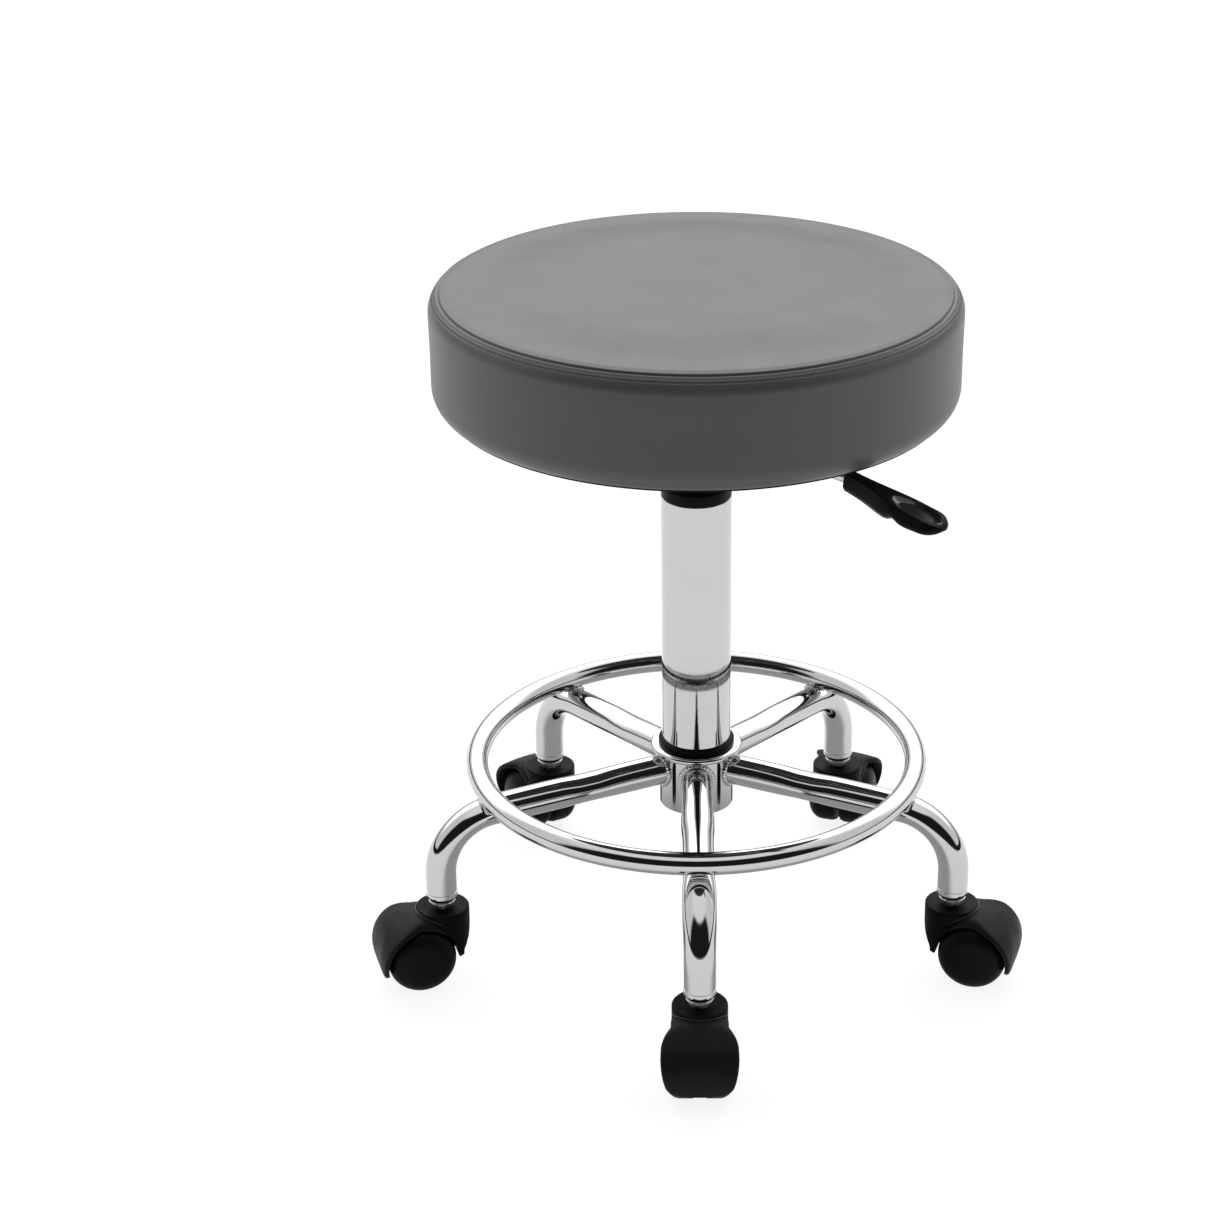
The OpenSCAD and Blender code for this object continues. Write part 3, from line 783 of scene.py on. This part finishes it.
TUBE_LO, TUBE_HI = box_mm("outer_tube")
COLUMN_R = TUBE_HI.x
COLUMN_WALL = 2
HUB_HI = box_mm("hub")[1]
HUB_R = 27
HUB_LIP = 5                            # height of the hub's lip
LEG_R = 11
LEG_FALL = 5.1                         # degrees that a leg falls towards its bend
LEG_ROOT_Z = 142.5
BEND_R = 45
OVAL = 0.9                             # how far a leg's tube is squeezed out of round
RING_TUBE_R = 8
RING_LO, RING_HI = box_mm("foot_ring")
RING_R = RING_HI.x - RING_TUBE_R
RING_Z = (RING_LO.z + RING_HI.z) / 2
SOCKET_LO, SOCKET_HI = box_mm("leg_sockets")
FERRULE_TOP = SOCKET_LO.z + 8
FEET = [joint_point(f"caster_{i}_swivel") for i in CASTERS]
REACH = Vector(FEET[0][:2]).length
LEG_ANGLES = [math.degrees(math.atan2(p.y, p.x)) for p in FEET]
BEND_X = REACH - BEND_R
FALL = math.radians(LEG_FALL)
BEND_Z = LEG_ROOT_Z - math.tan(FALL) * (BEND_X + BEND_R * math.sin(FALL) - HUB_R) - BEND_R * math.cos(FALL)


def make_column():
    low, top, inner = TUBE_LO.z, TUBE_HI.z, COLUMN_R - COLUMN_WALL
    profile = rounded([(inner, low, 0), (COLUMN_R, low, 0.5), (COLUMN_R, top, 0.7), (inner, top, 0)], 4)
    tube = piece_of("column_tube", lathe(profile, 160), "base", CHROME)
    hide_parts("outer_tube")


def make_bush():
    """Black plastic cap of the column's guide bush, with a chamfered and slightly dished top."""
    lo, hi = box_mm("guide_bush")
    bore = box_mm("pressure_cylinder")[1].x + 0.06
    seat = TUBE_HI.z
    inner = COLUMN_R - COLUMN_WALL
    profile = rounded([(bore, lo.z, 0), (inner, lo.z, 0.5), (inner, seat, 0), (COLUMN_R - 0.02, seat, 0.5),
                       (COLUMN_R - 0.02, hi.z - 4.2, 0.8), (COLUMN_R - 3, hi.z, 1.4),
                       (bore + 4, hi.z, 0.6), (bore + 2.6, hi.z - 0.9, 0.3), (bore, hi.z - 0.9, 0.3)], 5)
    bush = piece_of("bush_cap", lathe(profile, 128), "base", BLACK_PLASTIC)
    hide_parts("guide_bush")


def make_hub():
    """Hub tube with a round lip, level with the column's end, and a black ring round the column's foot."""
    lip_r, top, low = HUB_HI.x, HUB_HI.z, TUBE_LO.z
    under_lip = top - HUB_LIP
    profile = rounded([(COLUMN_R, low, 0), (HUB_R, low, 0.6), (HUB_R, under_lip, 0.8),
                       (lip_r, under_lip, 2.3), (lip_r, top, 2.3), (COLUMN_R, top, 0)], 8)
    hub = piece_of("hub_collar", lathe(profile, 160), "base", CHROME)
    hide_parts("hub")
    ring_r, bore, ring_top = COLUMN_R + 2.6, COLUMN_R - 0.1, top + 4.6
    profile = rounded([(bore, top - 1, 0), (ring_r, top - 1, 0), (ring_r, top + 3.0, 0.8),
                       (COLUMN_R + 0.4, ring_top, 0.5), (bore, ring_top, 0)], 5)
    piece_of("hub_ring", lathe(profile, 160), "base", BLACK_PLASTIC)


def leg_path():
    start = HUB_R - 1.2
    start_z = LEG_ROOT_Z + math.tan(FALL) * (HUB_R - start)
    bend_start = BEND_X + BEND_R * math.sin(FALL)
    end_z = BEND_Z + BEND_R * math.cos(FALL)
    straight = [(start + (bend_start - start) * i / 10, start_z + (end_z - start_z) * i / 10)
                for i in range(10)]
    bend = arc_points((BEND_X, BEND_Z), BEND_R, 90 - LEG_FALL, 0, 32)
    foot = [(REACH, BEND_Z + (FERRULE_TOP - BEND_Z) * i / 4) for i in range(1, 5)]
    return [(x, 0.0, z) for x, z in straight + bend + foot]


def make_legs():
    """Five bent tubes, squeezed a little oval in the bend, and in waves along the straight stretch too."""
    path = leg_path()
    bent = []
    for x, _, _ in path:
        share = max(0.0, math.sin(math.pi * (x - BEND_X) / BEND_R)) if x < REACH - 1e-6 else 0.0
        bent.append(smooth01(share) * OVAL)
    shape = sweep(path, [LEG_R - b for b in bent], 64, across=[LEG_R + b for b in bent])
    for i, angle in zip(CASTERS, LEG_ANGLES):
        leg = piece_of(f"leg_tube_{i}", moved(shape, turn(angle)), "base", CHROME)
        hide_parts(f"leg_{i}")


def make_ring():
    shape = sweep(circle(RING_R, RING_Z, 288), RING_TUBE_R, 48, closed=True)
    ring = piece_of("foot_ring_tube", shape, "base", CHROME)
    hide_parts("foot_ring")


def root_bead():
    """Weld bead round a leg where it enters the hub, with the overlapping scales of a hand weld."""
    count, scales = 240, 30
    path, radii = [], []
    for i in range(count):
        a = math.tau * i / count
        y, rise = (LEG_R + 0.5) * math.cos(a), (LEG_R + 0.5) * math.sin(a)
        x = math.sqrt(HUB_R ** 2 - y * y)
        path.append((x + 0.2, y, LEG_ROOT_Z - math.tan(FALL) * (x - HUB_R) + rise))
        radii.append(1.75 + 0.22 * abs(math.sin(scales * a / 2)))
    return sweep(path, radii, 16, closed=True)


def ring_bead(side):
    """Short bead that fills one side of the gap where the foot ring lies on a leg's bend."""
    tilt = math.atan2(RING_R - BEND_X, RING_Z - BEND_Z)
    out = BEND_R + LEG_R
    along = 4.6 * side
    path, radii = [], []
    for i in range(25):
        t = i / 24 * 2 - 1
        y = 6.5 * t
        drop = LEG_R - math.sqrt(LEG_R ** 2 - y * y)
        lift = out + 0.6 - drop
        bend = tilt + along / out
        path.append((BEND_X + lift * math.sin(bend), y, BEND_Z + lift * math.cos(bend)))
        radii.append(0.4 + 1.35 * math.sqrt(max(0.0, 1 - t ** 4)) + 0.12 * math.sin(i * 2.1))
    return sweep(path, radii, 16)


def make_welds():
    shape = joined([root_bead(), ring_bead(-1), ring_bead(1)])
    shapes = [moved(shape, turn(angle)) for angle in LEG_ANGLES]
    welds = piece_of("weld_beads", joined(shapes), "base", WELD)
    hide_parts("leg_welds")


def make_ferrules():
    """Chromed ferrule at each leg's end: a bowl with a fine lip, and the sleeve that holds the stem."""
    low, top = SOCKET_LO.z, FERRULE_TOP
    r = LEG_R + 0.4
    bore = 5.6
    lip = 0.9
    sleeve_r = LEG_R - 1.5
    profile = rounded([(bore, low, 0), (r - 1.6, low, 0.42), (r - 1.6, low + lip, 0.42),
                       (r - 2.4, low + lip, 0.1), (r, low + lip + 3.4, 3.2), (r, top, 0.3),
                       (sleeve_r, top, 0), (sleeve_r, SOCKET_HI.z, 0.4), (bore, SOCKET_HI.z, 0)], 6)
    shape = lathe(profile, 96)
    shapes = [moved(shape, shift(p.x, p.y, 0)) for p in FEET]
    ferrules = piece_of("leg_ferrules", joined(shapes), "base", CHROME)
    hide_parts("leg_sockets")


# ---------- casters ----------

BOSS_R = 19.5
BOSS_SKIN = 0.35
WHEEL_R = 25
WHEEL_BORE = 3.2
TREAD_IN, TREAD_OUT = 2.2, 13.0        # the tread's edges, along the axle
DOME = 12.4                            # how far a wheel's face stands out past its tread
HOOD_R = WHEEL_R + 7
WELL_R = WHEEL_R + 1.3
HOOD_HALF = 27
WIDEST_AT = 44                         # angle round the axle at which the hood is widest
SHOULDERS = 5.0                        # how much less its half width is 36 degrees above that
NARROWING = 5.3                        # and 62 degrees below it
HOOD_CORNER = (-6, -20.5)              # angles between which the hood's rear corners are rounded
CORNER_R = 6.5
BARREL_CURVE_R = 140                   # curve of the hood's top across its width
HOOD_VOXEL = 0.8
HOOD_SMOOTHING = 12
AXLES = [joint_point(f"wheel_{i}_left_roll") for i in CASTERS]
TRAIL = (Vector(AXLES[0][:2]) - Vector(FEET[0][:2])).length


def trail_angle(i):
    d = AXLES[i - 1] - FEET[i - 1]
    return math.degrees(math.atan2(d.y, d.x))


def caster_matrix(i):
    foot = FEET[i - 1]
    return shift(foot.x, foot.y, 0) @ turn(trail_angle(i))


def hood_shape():
    """The CAD housing of caster 1 in its own frame, remeshed and smoothed into a moulding's soft edges."""
    source = frame["nodes"]["caster_1_body"]
    mesh = source.data.copy()
    to_metres = Matrix.Scale(MM, 4)
    mesh.transform(to_metres @ caster_matrix(1).inverted() @ to_metres.inverted())
    obj = bpy.data.objects.new("hood_work", mesh)
    bpy.context.scene.collection.objects.link(obj)
    bpy.context.view_layer.objects.active = obj
    remesh = obj.modifiers.new("remesh", "REMESH")
    remesh.mode = "VOXEL"
    remesh.voxel_size = HOOD_VOXEL * MM
    bpy.ops.object.modifier_apply(modifier=remesh.name)
    for v in obj.data.vertices:
        v.co = hood_rounded(v.co / MM) * MM
    soften = obj.modifiers.new("soften", "SMOOTH")
    soften.factor = 0.5
    soften.iterations = HOOD_SMOOTHING
    bpy.ops.object.modifier_apply(modifier=soften.name)
    points = [tuple(v.co / MM) for v in obj.data.vertices]
    faces = [list(p.vertices) for p in obj.data.polygons]
    bpy.data.objects.remove(obj)
    return points, faces


def hood_rounded(point):
    """A point of the housing, drawn in to the hood's soft box section, which narrows to its rear edge."""
    x, y, z = point
    if math.hypot(x, y) < BOSS_R + BOSS_SKIN:
        return point
    out = math.hypot(x - TRAIL, z - WHEEL_R)
    angle = math.degrees(math.atan2(z - WHEEL_R, x - TRAIL))
    if angle > WIDEST_AT:
        width = HOOD_HALF - SHOULDERS * ((min(angle, 90) - WIDEST_AT) / 36) ** 1.8
    else:
        width = HOOD_HALF - NARROWING * ((WIDEST_AT - angle) / 62) ** 2.2
    corner = min(1.0, max(0.0, (HOOD_CORNER[0] - angle) / (HOOD_CORNER[0] - HOOD_CORNER[1])))
    width = max(width, BOSS_R + 0.4) - CORNER_R * (1 - math.sqrt(1 - corner * corner))
    height = HOOD_R - WELL_R - 1.6 * smooth01((50 - angle) / 70)
    power = 5 - 2 * smooth01((angle - 35) / 45)
    over = max(0.0, out - WELL_R)
    fullness = (abs(y) / width) ** power + (over / height) ** power
    if fullness <= 1:
        return point
    k = fullness ** (-1 / power)
    new_out = WELL_R + over * k if over else out
    return Vector((TRAIL + (x - TRAIL) * new_out / out, y * k, WHEEL_R + (z - WHEEL_R) * new_out / out))


def boss_shade_faces(shape):
    """For each face of the housing, 1 where it belongs to the swivel boss, which is drawn in a darker nylon
    as painted shade, and 0 where it is the hood's.
    """
    points, faces = shape
    flags = []
    for face in faces:
        x, y = (sum(points[i][k] for i in face) / len(face) for k in (0, 1))
        flags.append(int(math.hypot(x, y) < BOSS_R + BOSS_SKIN))
    return flags


def boss_ridge():
    """Fine raised line where the swivel boss stands out of the hood, drawn in a lighter nylon as a painted
    highlight.
    """
    path, radii = [], []
    steps, reach = 60, math.radians(84)
    for i in range(steps + 1):
        t = i / steps * 2 - 1
        x, y = (BOSS_R + 0.1) * math.cos(reach * t), (BOSS_R + 0.1) * math.sin(reach * t)
        barrel = HOOD_R - BARREL_CURVE_R + math.sqrt(BARREL_CURVE_R ** 2 - y * y)
        path.append((x, y, WHEEL_R + math.sqrt(barrel ** 2 - (x - TRAIL) ** 2) + 1.1))
        radii.append(0.15 + 0.45 * smooth01((1 - abs(t)) * 5))
    return sweep(path, radii, 12)


def wheel_profile():
    """A wheel's (r, along the axle) section: tread, and a domed face with a round shoulder."""
    section = rounded([(WHEEL_BORE, TREAD_IN, 0), (WHEEL_R - 1.0, TREAD_IN, 0.6), (WHEEL_R, 5.0, 1.5),
                       (WHEEL_R, TREAD_OUT, 0)], 6)
    for k in range(1, 32):
        t = math.pi / 2 * k / 32
        section.append((WHEEL_R * math.cos(t) ** 0.62, TREAD_OUT + DOME * math.sin(t) ** 0.95))
    return section + [(0.0, TREAD_OUT + DOME)]


def wheel_shape(side):
    outer = lathe(wheel_profile(), 96, closed=False)
    bore_end = 18.4
    inner = lathe([(WHEEL_BORE, TREAD_IN), (WHEEL_BORE, bore_end), (0.0, bore_end)], 96, closed=False)
    return moved(joined([outer, inner]), shift(TRAIL, 0, WHEEL_R) @ turn(-90 * side, "X"))


def make_casters():
    hood = hood_shape()
    flags = boss_shade_faces(hood)
    ridge = boss_ridge()
    for i in CASTERS:
        caster, at = f"caster_{i}", caster_matrix(i)
        body = piece_of(f"caster_{i}_hood", moved(hood, at), caster, HOOD_NYLON)
        # The boss's faces take the darker nylon: painted shade on the same moulding as the hood.
        body.data.materials.append(BOSS_SHADE_NYLON)
        body.data.polygons.foreach_set("material_index", flags)
        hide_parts(f"caster_{i}_body")
        # The ridge takes the lighter nylon: a painted highlight.
        piece_of(f"caster_{i}_ridge", moved(ridge, at), caster, RIDGE_HIGHLIGHT_NYLON)
        for name, side in (("left", 1), ("right", -1)):
            wheel = piece_of(f"caster_{i}_{name}", moved(wheel_shape(side), at), f"wheel_{i}_{name}",
                             WHEEL_NYLON)
            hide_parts(f"caster_{i}_wheel_{name}")


# ---------- lever ----------

LEVER_ANGLE = -46
HANDLE_START = 145                     # distances from the column's axis
HANDLE_TIP = 230
HANDLE_LO, HANDLE_HI = box_mm("lever_handle")
SPOON_HALF = 13.6
BLADE_HALF = 5.4
CREST = 0.76                           # share of the half width at the handle's top edges
FOOT = 0.62                            # share of the half width at its lower edges
DISH_AT = 206
DISH_HALF = 22
DISH_DEPTH = 2.6


def handle_half(s):
    """Half width of the handle at a distance s from the column's axis."""
    if s > HANDLE_TIP - SPOON_HALF:
        t = (s - HANDLE_TIP + SPOON_HALF) / SPOON_HALF
        return SPOON_HALF * math.sqrt(max(0.0, 1 - t * t))
    return BLADE_HALF + (SPOON_HALF - BLADE_HALF) * smooth01((s - 152) / 54)


def handle_low(s):
    """Underside of the handle: a deep blade, a step up behind the finger and the spoon's belly."""
    droop = 8.3 * smooth01((s - 132) / 58)
    return HANDLE_LO.z + 7.9 - droop + 3.2 * math.exp(-((s - 193) / 6) ** 2)


def handle_top(s):
    return HANDLE_HI.z + 2.4 - 12.0 * smooth01((s - 128) / 112)


def dish(s, share):
    """Share of the thumb recess's depth at a distance s, share of the half width to one side."""
    inside = 1 - ((s - DISH_AT) / DISH_HALF) ** 2 - (share / 0.84) ** 2
    return smooth01(1.6 * inside)


def handle_section(s):
    """Outline across the handle: narrow on top, with flanks that bulge out towards the underside."""
    half, low, top = handle_half(s), handle_low(s), handle_top(s)
    past = max(0.0, (s - HANDLE_TIP + SPOON_HALF) / SPOON_HALF)
    closing = max(0.08, math.sqrt(max(0.0, 1 - past * past)))
    middle = (low + top) / 2
    low, top = middle - (middle - low) * closing, middle + (top - middle) * closing
    crest = half * CREST
    soft = min(0.7, half * 0.3)
    belly = min(3.0, half * 0.4)
    flank = low + (top - low) * 0.3
    foot = half * FOOT
    upper = [(crest * u / 10, top - DISH_DEPTH * dish(s, u / 10), 0) for u in range(9, -10, -1)]
    lower = [(-half, flank, belly), (-foot, low, belly), (foot, low, belly), (half, flank, belly)]
    return rounded([(crest, top, soft)] + upper + [(-crest, top, soft)] + lower, 4)


def make_handle():
    stations = [HANDLE_START + 0.2 * k for k in range(3)]
    stations += list(range(HANDLE_START + 1, HANDLE_TIP - 3))
    stations += [HANDLE_TIP - 3.2 * (1 - k / 8) ** 1.6 - 0.12 for k in range(9)]
    points, faces = [], []
    for s in stations:
        section = handle_section(s)
        points += [(s, y, z) for y, z in section]
    count = len(section)
    for k in range(len(stations) - 1):
        for i in range(count):
            j = (i + 1) % count
            faces.append([k * count + i, k * count + j, (k + 1) * count + j, (k + 1) * count + i])
    faces.append(list(range(count))[::-1])
    faces.append(list(range((len(stations) - 1) * count, len(stations) * count)))
    shape = moved((points, faces), turn(LEVER_ANGLE))
    handle = piece_of("lever_paddle", shape, "lever", BLACK_PLASTIC)
    handle.data.materials.append(GLOSS_PLASTIC)
    flags = []
    for face in faces:
        s, y, z = (sum(points[i][k] for i in face) / len(face) for k in range(3))
        on_top = z > handle_top(s) - DISH_DEPTH - 0.3
        flags.append(int(on_top and dish(s, y / max(handle_half(s) * CREST, 0.1)) > 0.02))
    handle.data.polygons.foreach_set("material_index", flags)
    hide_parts("lever_handle")


def make_lever_rod():
    """Steel rod from over the valve pin, with two bends, into the handle."""
    over_valve, at_root, in_handle = 419.5, 410.5, 406
    path = rounded([(-5, over_valve, 0), (45, over_valve, 16), (72, at_root, 16),
                    (HANDLE_START + 3, at_root, 16), (HANDLE_START + 28, in_handle, 0)], 8)
    shape = sweep([(x, 0, z) for x, z in path], 4, 24)
    rod = piece_of("lever_rod_bent", moved(shape, turn(LEVER_ANGLE)), "lever", ZINC)
    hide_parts("lever_rod")


# ---------- CAD nodes that stay ----------

CAD_FINISHES = [
    (PLYWOOD, ["seat_board"]),
    (ZINC, ["cover_staples", "tee_nuts", "plate_bolts", "plate_washers", "valve_pin", "lever_pivot",
            "piston_rod", "piston", "upper_race", "lower_race", "retaining_clip", "bearing_balls",
            "caster_stems", "grip_rings"] + [f"caster_{i}_axle" for i in CASTERS]),
    (BLACK_PAINT, ["mount_plate", "plate_hub", "lever_bracket"]),
    (CYLINDER_PAINT, ["pressure_cylinder"]),
    (BRASS, ["bearing_cage"]),
    (RUBBER, ["rubber_buffer", "piston_seal"]),
    (BLACK_PLASTIC, ["cylinder_gland"]),
]


def finish_cad_nodes():
    for material, nodes in CAD_FINISHES:
        for name in nodes:
            data = frame["nodes"][name].data
            data.materials.clear()
            data.materials.append(material)


make_camera()
make_world()
make_floor()
make_cushion()
make_stitches()
make_hem_piping()
make_dust_cloth()
make_column()
make_bush()
make_hub()
make_legs()
make_ring()
make_welds()
make_ferrules()
make_casters()
make_handle()
make_lever_rod()
finish_cad_nodes()
bpy.context.scene.view_settings.view_transform = "Standard"
